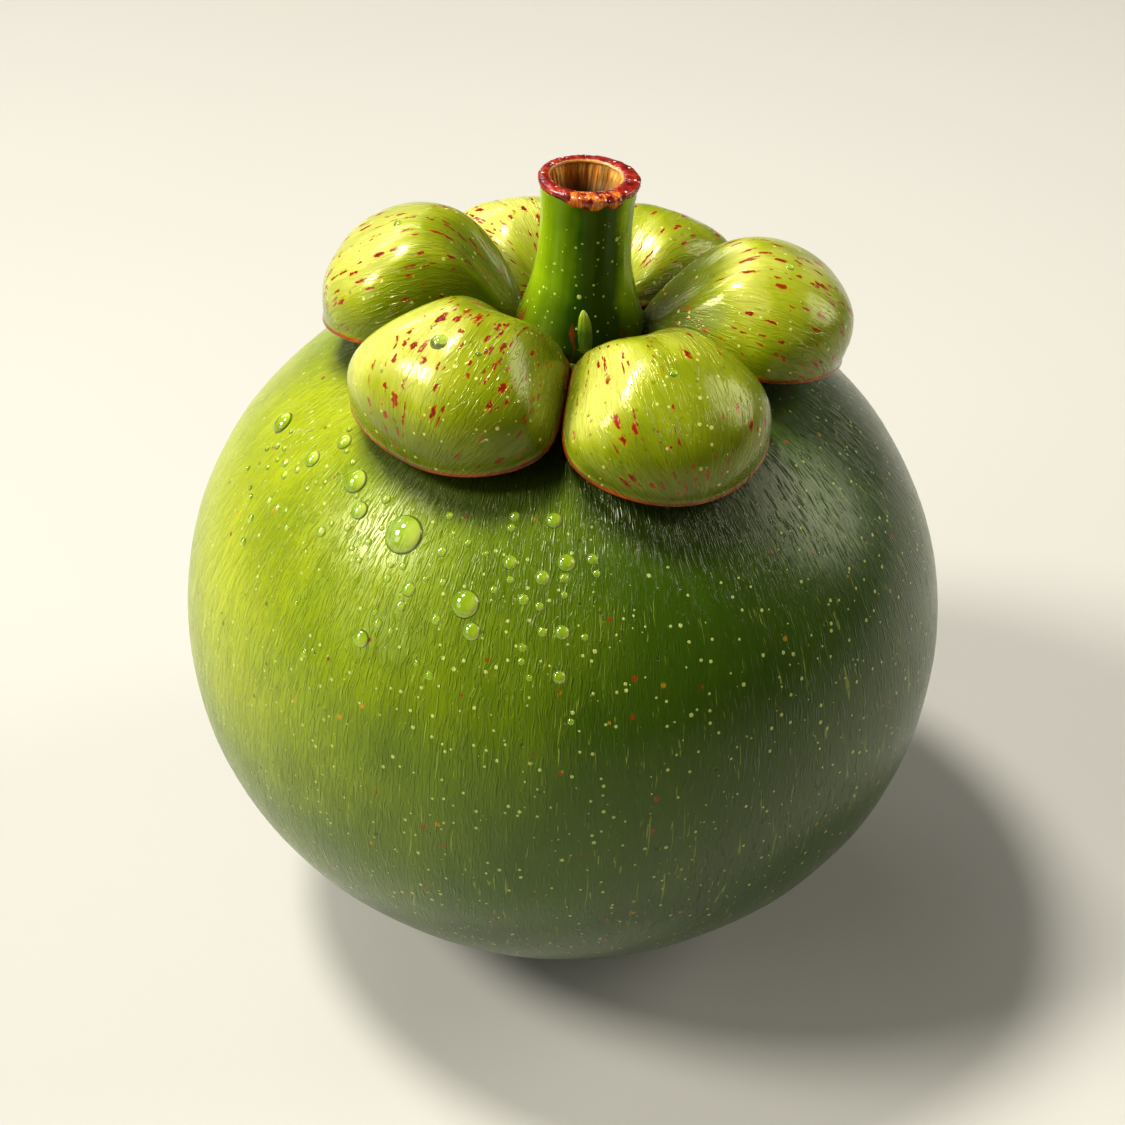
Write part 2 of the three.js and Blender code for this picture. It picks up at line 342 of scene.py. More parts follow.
def waxy_rind():
    """Green mangosteen skin: waxy and smooth, with meridian streaks, pale pores and a few brown
    specks. Its colour is painted yellower and lighter on the side towards the key light and
    darker green away from it: partly a real yellower side that grew in daylight, mostly painted
    light and shade. Wax gives it a broad sheen that the fine strokes of the skin break up."""
    material, tree, shader = start_material(
        "waxy_green_rind",
        Roughness=0.28,
        IOR=1.45,
        Specular_IOR_Level=0.36,
        Specular_Tint=linear("#e8eea8"),
        Coat_Weight=0.2,
        Coat_Roughness=0.2,
    )
    in_mm, grain = grain_and_mm(tree)
    # Painted light and shade: the skin's colour follows the direction of the key light.
    towards_light = add(tree, "VectorMath", {0: in_mm, 1: (-0.75, -0.1, 0.5)}, operation="DOT_PRODUCT")
    uneven = remap(tree, clouds(tree, in_mm, 9, 3).outputs[0], 0.3, 0.7, -0.1, 0.1)
    painted_light_and_tone = maths(tree, "ADD", remap(tree, towards_light.outputs["Value"], 6, 40), uneven)
    skin = ramp(
        tree,
        painted_light_and_tone,
        (0, "#294104"),
        (0.35, "#365005"),
        (0.6, "#576d06"),
        (0.8, "#7b8e09"),
        (1, "#9faa13"),
    )
    band = remap(tree, streaks(tree, grain, 2.2, 18), 0.3, 0.7)
    stroke = remap(tree, streaks(tree, grain, 0.45, 3.5, bend=0.8), 0.3, 0.7)
    slant = scaled(tree, clouds(tree, in_mm, 1.5, 1).outputs["Color"], 0.5)
    drifted = add(tree, "VectorMath", {0: grain, 1: slant}).outputs[0]
    long_cells = add(tree, "Mapping", {"Vector": drifted, "Scale": (1, 1, 0.1)}).outputs[0]
    welts = marks(tree, long_cells, 0.22, 0.12, 1.0, 0.8)
    pores = marks(tree, in_mm, 0.72, 0.17, 0.8)
    pits = marks(tree, in_mm, 1.3, 0.2, 0.25)
    amber = marks(tree, in_mm, 1.7, 0.26, 0.3)
    specks = marks(tree, in_mm, 1.6, 0.25, 0.3)
    scratch = remap(tree, streaks(tree, grain, 0.3, 3, bend=1.2), 0.67, 0.7)
    shade = maths(tree, "MULTIPLY_ADD", stroke, 0.12, 0.87)
    tone = maths(tree, "MULTIPLY_ADD", band, 0.12, shade)
    colour = lay_over(
        tree,
        scaled(tree, skin, tone),
        (scratch, 0.3, "#b9c24a"),
        (pits, 0.6, "#2c3b05"),
        (pores, 0.8, "#c3cc6a"),
        (amber, 0.7, "#b98412"),
        (specks, 0.9, "#8a350b"),
    )
    # Painted shade of the calyx: the skin is darkened towards deep green where the shade attribute
    # says.
    under = add(tree, "Attribute", attribute_name="shade").outputs["Fac"]
    deep = add(tree, "Mix", {0: under, 6: colour, 7: linear("#1d2a03")}, data_type="RGBA")
    tree.links.new(deep.outputs[2], shader.inputs["Base Color"])
    ridge = remap(tree, streaks(tree, drifted, 0.32, 3.2, bend=1.5), 0.47, 0.56)
    raised = maths(tree, "MULTIPLY", ridge, remap(tree, painted_light_and_tone, 0.3, 0.75, 0.15, 1.1))
    emboss(tree, shader, 0.045, (welts, 0.8), (raised, 1.0), (pores, 0.7), (pits, -0.7))
    return material


def fleshy_lobe():
    """Fleshy calyx lobe: glossy yellow-green skin with lengthwise veins, crimson dashes that
    follow them, pale pores, and a thin dry red-brown rim. Painted light makes it lighter and
    paler on its top and on the side that faces the key light, and painted shade darkens its
    fine grooves."""
    material, tree, shader = start_material(
        "glossy_calyx_flesh",
        Roughness=0.2,
        IOR=1.45,
        Specular_IOR_Level=0.56,
        Specular_Tint=linear("#f0ec90"),
        Coat_Weight=0.2,
        Coat_Roughness=0.15,
    )
    in_mm, grain = grain_and_mm(tree)
    edge = add(tree, "Attribute", attribute_name="edge").outputs["Vector"]
    rim, height, painted_lobe_light = add(tree, "SeparateXYZ", {0: edge}).outputs
    lie = (0, 1, 0)
    cloud = clouds(tree, in_mm, 4, 3).outputs[0]
    uneven = remap(tree, cloud, 0.3, 0.7, -0.14, 0.14)
    # Painted light: lighter and paler on each lobe's top and on the side that faces the key light;
    # the palest stop stands for a painted sheen.
    facing = add(tree, "TexCoord").outputs["Normal"]
    towards_light = add(tree, "VectorMath", {0: facing, 1: (-0.8, -0.15, 0.5)}, operation="DOT_PRODUCT")
    painted_top_light_and_tone = maths(tree, "MULTIPLY_ADD", height, 0.5, uneven)
    painted_side_light = remap(tree, towards_light.outputs["Value"], 0.45, 0.92, 0.1, 0.56)
    painted_light_and_tone = maths(tree, "ADD", maths(tree, "ADD", painted_side_light, painted_top_light_and_tone), painted_lobe_light)
    skin = ramp(
        tree,
        painted_light_and_tone,
        (0, "#536104"),
        (0.25, "#667405"),
        (0.5, "#7f8b0a"),
        (0.68, "#9ea51e"),
        (0.95, "#c9c858"),
    )
    band = remap(tree, streaks(tree, grain, 1.3, 14, lie), 0.3, 0.7)
    stroke = remap(tree, streaks(tree, grain, 0.4, 4, lie, 0.8), 0.3, 0.7)
    hair = streaks(tree, grain, 0.28, 2.2, lie, 0.8)
    ridge = remap(tree, streaks(tree, grain, 0.42, 3.2, lie, 2.2), 0.48, 0.56)
    raised = maths(tree, "MULTIPLY", ridge, remap(tree, cloud, 0.35, 0.6, 0.2, 1))
    # Painted shade: thin dark lines stand for the shade in fine grooves along the veins.
    line = streaks(tree, grain, 1.6, 22, lie, 0.3)
    away = maths(tree, "ABSOLUTE", maths(tree, "SUBTRACT", line, 0.5))
    seam, broken = remap(tree, away, 0.01, 0.002), remap(tree, cloud, 0.48, 0.56)
    groove_shade = maths(tree, "MULTIPLY", seam, broken)
    pores = marks(tree, in_mm, 0.7, 0.17, 0.6)
    olive = marks(tree, in_mm, 1.0, 0.2, 0.4)
    freckles = marks(tree, in_mm, 0.9, 0.15, 0.35)
    wobble = clouds(tree, in_mm, 0.4, 1).outputs["Color"]
    either_way = {0: wobble, 1: (0.5, 0.5, 0.5)}
    bent = add(tree, "VectorMath", either_way, operation="SUBTRACT").outputs[0]
    along = add(tree, "Mapping", {"Vector": grain, "Scale": (1, 0.36, 1)}).outputs[0]
    placed = add(tree, "VectorMath", {0: along, 1: scaled(tree, bent, 0.36)}).outputs[0]
    crowd = clouds(tree, in_mm, 3, 1).outputs[0]
    where = remap(tree, maths(tree, "MULTIPLY_ADD", height, 0.4, crowd), 0.5, 0.62)
    dashes = marks(tree, placed, 0.8, 0.21, 0.46, 0.3, where, flat=True)
    halo = marks(tree, placed, 0.8, 0.3, 0.46, 0.6, where, flat=True)
    row = remap(tree, streaks(tree, grain, 0.7, 12, lie), 0.585, 0.61)
    chain = marks(tree, placed, 0.42, 0.19, 0.7, 0.3, row, flat=True)
    shade = maths(tree, "MULTIPLY_ADD", stroke, 0.14, 0.84)
    tone = maths(tree, "MULTIPLY_ADD", band, 0.14, shade)
    dry = ramp(tree, cloud, (0.35, "#5a1602"), (0.5, "#852a03"), (0.65, "#b04a08"))
    crimson = ramp(tree, cloud, (0.4, "#8a3a08"), (0.5, "#8c1a08"), (0.6, "#7a0f08"))
    colour = lay_over(
        tree,
        scaled(tree, skin, tone),
        (groove_shade, 0.2, "#4a5606"),
        (olive, 0.5, "#4f5a08"),
        (pores, 0.75, "#e0dd70"),
        (halo, 0.6, "#bf780c"),
        (freckles, 0.8, "#8a3a0c"),
        (chain, 1, "#8c2206"),
        (dashes, 1, crimson),
        (rim, 1, dry),
    )
    tree.links.new(colour, shader.inputs["Base Color"])
    emboss(tree, shader, 0.036, (raised, 1.0), (hair, 0.25), (pores, 0.5))
    return material


def green_twig():
    """Young green twig bark: deep green and glossy, with faint ridges along it, pale pores and
    brown scars near its foot. Painted light makes it lighter at both edges, towards the key
    light and the right fill light, and painted shade darkens it down its middle and towards its
    foot."""
    material, tree, shader = start_material(
        "glossy_green_twig",
        Roughness=0.25,
        IOR=1.45,
        Specular_IOR_Level=0.4,
        Specular_Tint=linear("#dfe88c"),
    )
    in_mm, grain = grain_and_mm(tree)
    across, _, up = add(tree, "SeparateXYZ", {0: grain}).outputs
    # Painted light and shade across the stalk: lighter at its left and right edges, darker down its
    # middle.
    side = remap(tree, across, -STALK_GRAIN, STALK_GRAIN)
    uneven = remap(tree, clouds(tree, in_mm, 3, 3).outputs[0], 0.3, 0.7, -0.07, 0.07)
    skin = ramp(
        tree,
        maths(tree, "ADD", side, uneven),
        (0, "#93b00c"),
        (0.2, "#6c8e09"),
        (0.42, "#2a4d05"),
        (0.6, "#1a3603"),
        (0.8, "#2a4805"),
        (0.95, "#86a312"),
    )
    ridge = remap(tree, streaks(tree, grain, 0.7, 16), 0.3, 0.7)
    hair = streaks(tree, grain, 0.2, 3)
    pores = marks(tree, in_mm, 0.5, 0.13, 0.75)
    warts = marks(tree, in_mm, 1.3, 0.24, 0.4)
    low = remap(tree, up, 4.2, 0.8)
    brown = maths(tree, "MULTIPLY_ADD", low, 0.2, streaks(tree, grain, 0.8, 3))
    scars = remap(tree, brown, 0.75, 0.82)
    # Painted shade: darker towards its foot, where the lobes shade it.
    foot = remap(tree, up, 1.5, 5, 0.4, 1)
    tone = maths(tree, "MULTIPLY", remap(tree, ridge, 0, 1, 0.86, 1.08), foot)
    colour = lay_over(
        tree,
        scaled(tree, skin, tone),
        (scars, 0.8, "#6e2c0a"),
        (pores, 0.8, "#b9cf5c"),
        (warts, 0.9, "#c8da5e"),
    )
    tree.links.new(colour, shader.inputs["Base Color"])
    emboss(tree, shader, 0.05, (ridge, 0.5), (hair, 0.3), (pores, 0.7), (warts, 0.9))
    return material


def cut_pith():
    """Dried pith in the hollow of the cut: golden tan fibres that run down into it, dull and
    rough, and darkened almost to black towards the bottom by painted shade."""
    material, tree, shader = start_material("dried_cut_pith", Roughness=0.55, IOR=1.45)
    _, grain = grain_and_mm(tree)
    depth = add(tree, "SeparateXYZ", {0: grain}).outputs[2]
    fibre = remap(tree, streaks(tree, grain, 0.28, 3), 0.3, 0.7)
    wide = remap(tree, streaks(tree, grain, 0.8, 6), 0.35, 0.65)
    gold = ramp(tree, fibre, (0, "#a5520a"), (0.5, "#ec9a22"), (1, "#ffd46e"))
    # Painted shade, darker deeper in the hollow.
    deep = remap(tree, depth, 0.9, 2.4, 1, 0.04)
    tone = maths(tree, "MULTIPLY", remap(tree, wide, 0, 1, 0.5, 1.15), deep)
    tree.links.new(scaled(tree, gold, tone), shader.inputs["Base Color"])
    emboss(tree, shader, 0.1, (fibre, 0.8), (wide, 0.6))
    return material


def torn_bark():
    """Torn bark that dried round the cut: crimson and knobbly, with pale fibre ends, a golden
    inner edge, and orange-brown where it was pulled down in a ragged flap. Slightly glossy."""
    material, tree, shader = start_material("dried_torn_bark", Roughness=0.22, IOR=1.5)
    in_mm, grain = grain_and_mm(tree)
    edge = add(tree, "Attribute", attribute_name="edge").outputs["Vector"]
    flap, inner, _ = add(tree, "SeparateXYZ", {0: edge}).outputs
    cloud = clouds(tree, in_mm, 0.7, 3).outputs[0]
    fibre = remap(tree, streaks(tree, grain, 0.22, 1.2), 0.3, 0.7)
    crimson = ramp(tree, cloud, (0.3, "#4a0808"), (0.5, "#86160f"), (0.7, "#b23d1d"))
    rust = ramp(tree, fibre, (0, "#8a2c06"), (0.5, "#bc5a16"), (1, "#ee8f36"))
    uneven = remap(tree, cloud, 0.4, 0.6, -0.8, 0.3)
    rusty = remap(tree, maths(tree, "ADD", flap, uneven), 0.35, 0.75)
    flecks = marks(tree, in_mm, 0.34, 0.15, 0.55)
    colour = lay_over(
        tree, crimson, (rusty, 1, rust), (inner, 0.9, "#f2b458"), (flecks, 0.85, "#f4cdb8")
    )
    tree.links.new(colour, shader.inputs["Base Color"])
    emboss(tree, shader, 0.1, (cloud, 0.8), (fibre, 0.25), (flecks, 0.8))
    return material


def young_scale():
    """The young scale's skin: glossy, deep green at its foot and yellow-green towards its tip,
    with faint strokes along it."""
    material, tree, shader = start_material(
        "young_green_scale", Roughness=0.28, IOR=1.45, Coat_Weight=0.5, Coat_Roughness=0.08
    )
    _, grain = grain_and_mm(tree)
    up = add(tree, "SeparateXYZ", {0: grain}).outputs[2]
    skin = ramp(
        tree,
        remap(tree, up, 0, 3.4),
        (0, "#2c4205"),
        (0.55, "#3e5c07"),
        (0.85, "#8ba518"),
        (1, "#bac838"),
    )
    stroke = remap(tree, streaks(tree, grain, 0.2, 2), 0.3, 0.7)
    colour = scaled(tree, skin, remap(tree, stroke, 0, 1, 0.85, 1.1))
    tree.links.new(colour, shader.inputs["Base Color"])
    emboss(tree, shader, 0.04, (stroke, 1.0))
    return material


def corky_scar():
    """Old stigma on the blossom end: dry brown cork, cracked along its lobes, dull and rough."""
    material, tree, shader = start_material("dry_brown_cork", Roughness=0.8, IOR=1.45)
    in_mm, grain = grain_and_mm(tree)
    coarse = clouds(tree, in_mm, 1.4, 4).outputs[0]
    fine = clouds(tree, in_mm, 0.3, 3).outputs[0]
    spoke = remap(tree, streaks(tree, grain, 0.5, 4), 0.3, 0.7)
    tint = ramp(tree, coarse, (0.3, "#3b2412"), (0.5, "#6b4a2b"), (0.7, "#9a7a4e"))
    colour = scaled(tree, tint, remap(tree, spoke, 0, 1, 0.75, 1.15))
    tree.links.new(colour, shader.inputs["Base Color"])
    emboss(tree, shader, 0.15, (coarse, 0.8), (fine, 0.5), (spoke, 0.5))
    return material


def clear_water():
    """Clear water in small domes, mostly covered by a painted colour in place of the skin seen
    through it: painted darker green on the side towards the light, painted light on the far
    side, where a drop would gather the light, and a painted dark line round its foot; and a
    hard white glint from its coat."""
    material, tree, shader = start_material(
        "clear_water", Roughness=0.1, IOR=1.5, Coat_Weight=1.0, Coat_Roughness=0.03
    )
    drop = add(tree, "Attribute", attribute_name="across").outputs["Vector"]
    across, outward, radius = add(tree, "SeparateXYZ", {0: drop}).outputs
    # Painted light: lighter on the side away from the light, darker on the side towards it.
    green = ramp(
        tree,
        remap(tree, across, -1, 1),
        (0, "#56700a"),
        (0.3, "#74920c"),
        (0.6, "#96b415"),
        (0.85, "#d8ea50"),
        (1, "#f2f8a0"),
    )
    # Painted shade: a thin dark line round the drop's foot.
    foot = remap(tree, outward, 0.94, 0.985)
    line = maths(tree, "MULTIPLY", foot, remap(tree, radius, 0.25, 0.7, 0.35, 0.85))
    colour = lay_over(tree, green, (line, 1, "#304205"))
    tree.links.new(colour, shader.inputs["Base Color"])
    cover = remap(tree, line, 0, 1, 0.72, 0.95)
    tree.links.new(cover, shader.inputs["Alpha"])
    return material


# ---- mesh tools ----


def finish_piece(bm, name, materials, slot, *nodes):
    """Turns a shaped bmesh into a smooth piece that rides on the fruit."""
    mesh = bpy.data.meshes.new(name)
    bm.normal_update()
    bm.to_mesh(mesh)
    bm.free()
    mesh.polygons.foreach_set("use_smooth", [True] * len(mesh.polygons))
    for material in materials:
        mesh.materials.append(material)
    piece = bpy.data.objects.new(name, mesh)
    bpy.context.scene.collection.objects.link(piece)
    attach(piece, "root")
    if nodes:
        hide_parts(*nodes)
    return piece


def ball(around, down):
    bm = bmesh.new()
    bmesh.ops.create_uvsphere(bm, u_segments=around, v_segments=down, radius=1)
    return bm


def spin_round(bm, steps):
    """Turns an outline that stands beside the upright axis right round it."""
    bmesh.ops.spin(
        bm,
        geom=bm.verts[:] + bm.edges[:],
        axis=(0, 0, 1),
        cent=(0, 0, 0),
        angle=2 * math.pi,
        steps=steps,
        use_merge=True,
    )
    bmesh.ops.remove_doubles(bm, verts=bm.verts[:], dist=1e-4)
    bmesh.ops.recalc_face_normals(bm, faces=bm.faces[:])


def curve_through(points, steps):
    """A smooth line through the points, with this many steps between two of them."""
    line = []
    for i in range(len(points) - 1):
        before, a, b, after = (
            Vector(points[min(max(i + k, 0), len(points) - 1)]) for k in (-1, 0, 1, 2)
        )
        for step in range(steps):
            t = step / steps
            slope_a, slope_b = (b - before) / 2, (after - a) / 2
            bend = (2 * t**3 - 3 * t**2 + 1) * a + (t**3 - 2 * t**2 + t) * slope_a
            line.append(bend + (3 * t**2 - 2 * t**3) * b + (t**3 - t**2) * slope_b)
    return line + [Vector(points[-1])]


# ---- the form of the rind and the calyx ----


def roundness(angle):
    return 1 + ROUNDNESS_WAVE * (math.cos(2 * angle + 0.7) + 0.6 * math.cos(5 * angle + 2))


def dome_height(x, y):
    share = math.hypot(x, y) / (RIND_RADIUS * roundness(math.atan2(y, x)))
    return RIND_RISE * max(1 - share**RIND_FULLNESS, 0) ** (1 / RIND_FULLNESS)


def crown_height(x, y):
    return dome_height(x, y) - DIMPLE_DEPTH * math.exp(-((math.hypot(x, y) / DIMPLE_RADIUS) ** 2))


def rind_point(angle, fall):
    """A point on the skin: its turn round the crown's axis, and how far it is down from it."""
    wide = RIND_RADIUS * roundness(angle) * math.sin(fall)
    x, y = wide * math.cos(angle), wide * math.sin(angle)
    return Vector((x, y, crown_height(x, y) if fall < math.pi / 2 else -dome_height(x, y)))


def half_sector(index, step):
    """Half of the angle between a lobe and the next one, going round by step."""
    turns = [shape[0] for shape in LOBES.values()]
    turn = (turns[(index + step) % len(turns)] - turns[index]) * step
    return math.radians((turn % 360) / 2)


class Lobe:
    """The plan and height of one lobe: x runs out along it and y across it."""

    def __init__(self, index, name):
        self.azimuth, self.end, self.half, self.height, self.lift, self.tilt = LOBES[name]
        self.room = [math.tan(half_sector(index, step)) for step in (-1, 1)]
        self.heart = (LOBE_START + self.end) / 2 + LOBE_HEART
        self.reaches = {}

    def place(self, x, y):
        """Where a point lies along and across the lobe, from -1 to 1."""
        along = 2 * (x - LOBE_START) / (self.end - LOBE_START) - 1
        return along, y / self.half[1 if y > 0 else 0]

    def share(self, x, y):
        """0 at the lobe's middle and 1 on its rim."""
        along, across = self.place(x, y)
        pressed = (y / max(x * self.room[1 if y > 0 else 0] - LOBE_GAP, 0.01)) ** 2
        free = along**2 + across**2
        return (free**LOBE_PACKING + pressed**LOBE_PACKING) ** (1 / LOBE_PACKING)

    def reach(self, angle):
        """From the heart to the rim in one direction."""
        key = round(angle, 5)
        if key not in self.reaches:
            inside, outside = 0, self.end
            for _ in range(30):
                middle = (inside + outside) / 2
                if self.share(self.heart + middle * math.cos(angle), middle * math.sin(angle)) < 1:
                    inside = middle
                else:
                    outside = middle
            self.reaches[key] = inside
        return self.reaches[key]

    def swell(self, x, y):
        crease = ((x - LOBE_START) / CREASE_LENGTH) ** 2 + (y / CREASE_HALF_WIDTH) ** 2
        return self.height * (1 - CREASE_DEPTH * math.exp(-crease))

    def grain(self, x, y, up):
        """The veins run like meridians from a pole at the lobe's inner end."""
        pole, over = Vector((-0.94, 0, 0.34)), Vector((0.34, 0, 0.94))
        spot = Vector((*self.place(x, y), up)).normalized()
        turn = math.atan2(spot.y, spot @ over)
        run = math.acos(max(-1, min(1, spot @ pole)))
        return Vector((turn * VEIN_TURN, run * VEIN_RUN, 0))


# The painted shade falls this far to the side of the calyx, away from the light.
SHADE_SHIFT = Vector((0.9, -1.3))
SHADE_DEPTH = 0.85


def shaded(lobes, x, y):
    """How deep the painted shade of the calyx is on the skin here: 1 under a lobe, and 0 well
    outside it. The painted shade is weaker on the right, where the fill light falls."""
    shade = 0
    for lobe in lobes:
        turn = math.radians(90 - lobe.azimuth)
        inner, beside = x - SHADE_SHIFT.x, y - SHADE_SHIFT.y
        along = inner * math.cos(turn) - beside * math.sin(turn)
        across = inner * math.sin(turn) + beside * math.cos(turn)
        if along > 0:
            shade = max(shade, 1 - smoothstep(lobe.share(along, across), 0.86, 1.36))
    return shade * (1 - 0.8 * smoothstep(x, 9, 17))


# ---- the rind and the calyx lobes ----


def make_rind():
    """The whole skin, from a ball with its poles on the crown's axis, and flat underneath."""
    bm = ball(256, 160)
    grain = bm.verts.layers.float_vector.new("grain")
    shade = bm.verts.layers.float.new("shade")
    lobes = [Lobe(index, name) for index, name in enumerate(LOBES)]
    for v in bm.verts:
        angle, _, way = round_axis(v.co)
        fall = math.acos(max(-1, min(1, v.co.z)))
        v[grain] = (way + Vector((0, 0, fall))) * RIND_RADIUS
        p = rind_point(angle, fall)
        # painted shade of the calyx, kept for the material
        v[shade] = SHADE_DEPTH * shaded(lobes, p.x, p.y) if p.z > 5 else 0
        p = LEAN @ p
        p -= p.normalized() * SKIN_RELIEF * (1 + noise.noise(p / 7))
        p.z = max(p.z, -REST_HEIGHT)
        v.co = (CENTRE + p) * MM
    finish_piece(bm, "rind_skin", [waxy_rind()], "rind", "rind")


# The finished lobes' surfaces by name, for the drops that sit on them.
LOBE_SKINS = {}


def make_lobe(index, name, material):
    """One fleshy lobe, from a ball: the upper half swells up from the beaded rim, and the lower
    half follows the crown under it."""
    lobe = Lobe(index, name)
    lean = math.radians(lobe.tilt)
    turn = Matrix.Rotation(math.radians(lobe.azimuth - 90), 3, "Z")
    before, after = FULLER.get(name, (0, 0))
    inner_before, inner_after = SLIMMER.get(name, (0, 0))
    bm = ball(160, 104)
    grain = bm.verts.layers.float_vector.new("grain")
    edge = bm.verts.layers.float_vector.new("edge")
    for v in bm.verts:
        upper = v.co.z > 0
        rise = abs(v.co.z) ** 1.6  # more than 1 crowds the rings of vertices at the rim
        share = math.sqrt(max(1 - rise * rise, 0))
        angle = math.atan2(v.co.y, v.co.x)
        reach = share * lobe.reach(angle)
        x = lobe.heart + reach * math.cos(angle)
        y = reach * math.sin(angle)
        left, right = smoothstep(-y, 0, 5), smoothstep(y, 0, 5)
        slimmer = (inner_before * left + inner_after * right) * smoothstep(lobe.heart - x, -2, 4)
        fuller = before * left + after * right - slimmer
        high = max(1 - lobe.share(x, y), 0) ** (LOBE_SWELL - fuller) * (1 if upper else -0.5)
        lie = lobe.grain(x, y, high)
        v[grain] = lie + Vector((40 * index, 0, 11 * index))
        furrow = noise.noise(Vector((lie.x / 1.5, lie.y / 9, 5 * index)))
        lump = noise.noise(Vector((lie.x / 5, lie.y / 6, 9 + 5 * index)))
        worn = (0.1 * furrow + 0.2 * lump) * max(high, 0)
        top = lobe.swell(x, y) * high + worn if upper else 0
        far = top if upper else (1 - share) * 6  # about how far away the rim is
        tall = max(high, 0) * lobe.swell(x, y) / lobe.height
        # Painted light and shade for each lobe, kept as the edge attribute's third value: some
        # lobes lighter, and the right lobe's inner end darker where the stalk shades it.
        painted_stalk_shade = STALK_SHADE_PAINTED.get(name, 0) * (1 - smoothstep(x, 5.5, 9.5))
        painted_light_and_tone = LOBES_PAINTED_LIGHTER.get(name, 0) - painted_stalk_shade
        v[edge] = (1 - smoothstep(far, 0.16, 0.34), tall, painted_light_and_tone)
        bead = RIM_BEAD * math.exp(-((far / RIM_WIDTH) ** 2))
        under = 0.3 + lobe.lift * smoothstep(x, LOBE_START, lobe.end) * share**2
        plan = turn @ Vector((x, y, 0))
        out = x + top * math.sin(lean) + bead * math.cos(angle)
        p = turn @ Vector((out, y + bead * math.sin(angle), 0))
        p.z = crown_height(plan.x, plan.y) + under + top * math.cos(lean)
        v.co = from_crown(p)
    LOBE_SKINS[name] = BVHTree.FromBMesh(bm)
    finish_piece(bm, "calyx_" + name, [material], "calyx", "calyx_lobe_" + name)


# ---- the stalk ----

# Radius and height of its outline: up the side, then over the rim and down into the hollow.
STALK_SIDE = [
    (0, STALK_FOOT - 0.7),
    (FLARE_RADIUS - 0.4, STALK_FOOT - 0.7),
    (FLARE_RADIUS + 0.1, STALK_FOOT - 0.6),
    (FLARE_RADIUS, STALK_FOOT),
    (FLARE_RADIUS - 0.15, STALK_FOOT + 0.75),
    (STALK_RADIUS + 0.7, STALK_FOOT + 2.85),
    (STALK_RADIUS + 0.15, STALK_FOOT + 5.35),
    (STALK_RADIUS, STALK_TOP - 3.7),
    (STALK_RADIUS + 0.05, STALK_TOP - 2),
    (LIP_RADIUS - 0.16, STALK_TOP - 0.9),
    (LIP_RADIUS - 0.2, STALK_TOP - 0.3),
]
STALK_MOUTH = [
    (HOLLOW_RADIUS + 0.4, STALK_TOP - 0.25),
    (HOLLOW_RADIUS, STALK_TOP - 0.4),
    (HOLLOW_RADIUS - 0.16, STALK_TOP - 0.9),
    (HOLLOW_RADIUS - 0.35, STALK_TOP - 1.7),
    (HOLLOW_RADIUS * 0.68, STALK_TOP - HOLLOW_DEPTH * 0.76),
    (HOLLOW_RADIUS * 0.38, STALK_TOP - HOLLOW_DEPTH * 0.95),
    (0, STALK_TOP - HOLLOW_DEPTH),
]
# The hollow is off the stalk's middle, so the rim is thicker on one side.
MOUTH_SHIFT = Vector((-0.26, 0.2, 0))


def make_stalk():
    """The stalk from its flared foot up and down into the folded hollow of its cut end."""
    bm = bmesh.new()
    outline = [bm.verts.new((p.x, 0, p.y)) for p in curve_through(STALK_SIDE + STALK_MOUTH, 7)]
    for a, b in zip(outline, outline[1:]):
        bm.edges.new((a, b))
    spin_round(bm, 160)
    grain = bm.verts.layers.float_vector.new("grain")
    for f in bm.faces:
        middle = f.calc_center_median()
        wide = math.hypot(middle.x, middle.y)
        f.material_index = 1 if wide < HOLLOW_RADIUS + 0.3 and middle.z > STALK_FOOT + 1 else 0
    for v in bm.verts:
        _, wide, ring = round_axis(v.co)
        below = STALK_TOP - v.co.z
        hollow = wide < HOLLOW_RADIUS + 0.45 and below < HOLLOW_DEPTH + 0.1
        v[grain] = ring * STALK_GRAIN + Vector((0, 0, below if hollow else v.co.z - STALK_FOOT))
        if hollow:
            deep = smoothstep(below, 0.3, 1) * (1 - 0.6 * smoothstep(below, 2.2, 3.4))
            fold = noise.noise(ring * 3.2) + 0.6 * noise.noise(ring * 7 + Vector((0, 0, 3)))
            wide += 0.3 * deep * fold
        else:
            ridge = noise.noise(Vector((ring.x * 4, ring.y * 4, v.co.z / 14)))
            wide += 0.06 * ridge * smoothstep(v.co.z, STALK_FOOT, STALK_FOOT + 3)
        v.co = from_crown(ring * wide + Vector((0, 0, v.co.z)) + MOUTH_SHIFT * (1 if hollow else 0))
    finish_piece(bm, "stalk", [green_twig(), cut_pith()], "stalk", "stalk")


def pulled(azimuth):
    """Where the bark was pulled down as the stalk came off: 1 there and 0 elsewhere."""
    start = smoothstep(azimuth, TEAR_START, TEAR_START + 12)
    return start * (1 - smoothstep(azimuth, TEAR_END - 8, TEAR_END))


def ragged(azimuth):
    """How far the torn bark hangs below the rim, in this direction in degrees."""
    teeth = 0.72 + 0.28 * math.cos(math.radians((azimuth - 3) * TEAR_TEETH))
    turn = direction(azimuth)
    nibble = noise.noise(turn * 7) + 0.6 * noise.noise(turn * 16)
    return 0.22 + 0.42 * pulled(azimuth) * teeth + 0.12 * nibble


